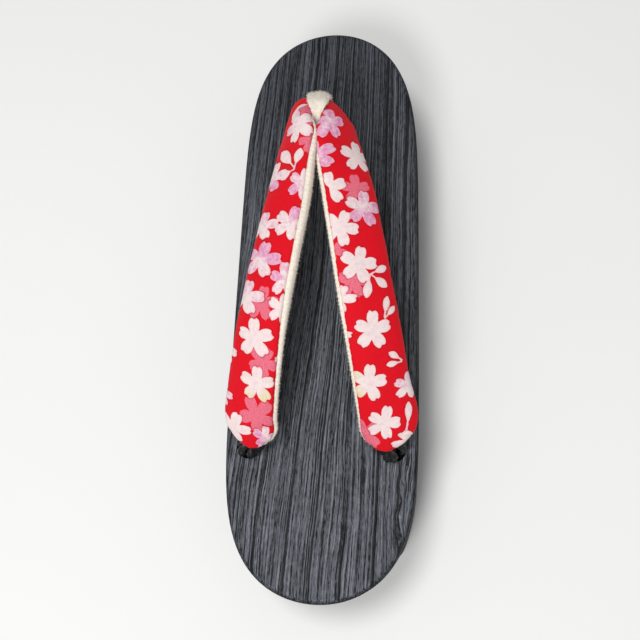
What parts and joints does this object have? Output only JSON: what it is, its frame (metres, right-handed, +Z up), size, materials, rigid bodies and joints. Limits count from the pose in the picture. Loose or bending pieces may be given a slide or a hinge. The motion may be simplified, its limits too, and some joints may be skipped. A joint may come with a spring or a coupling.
{
  "type": "geta sandal",
  "caption": "Oval wooden clog sandal with carved teeth under the board and a padded V strap of red blossom print held by a velvet loop.",
  "frame": {"origin": "on the floor under the middle of the board's outline", "axes": "+Z up from the floor, +Y towards the toe, +X to the right as worn"},
  "size_m": [0.0747, 0.235, 0.0884],
  "materials": {
    "wood": "black stained, brushed grain",
    "print": "matt cotton with a blossom print",
    "velvet": "cream velvet",
    "cord": "black twisted cord"
  },
  "bodies": {
    "root": {"wood_base": "wood", "strap_cover": "print", "strap_lining": "velvet", "front_loop": "velvet", "front_knot": "velvet", "rear_cord_left": "cord", "rear_cord_right": "cord", "rear_knot_left": "cord", "rear_knot_right": "cord"}
  },
  "joints": []
}
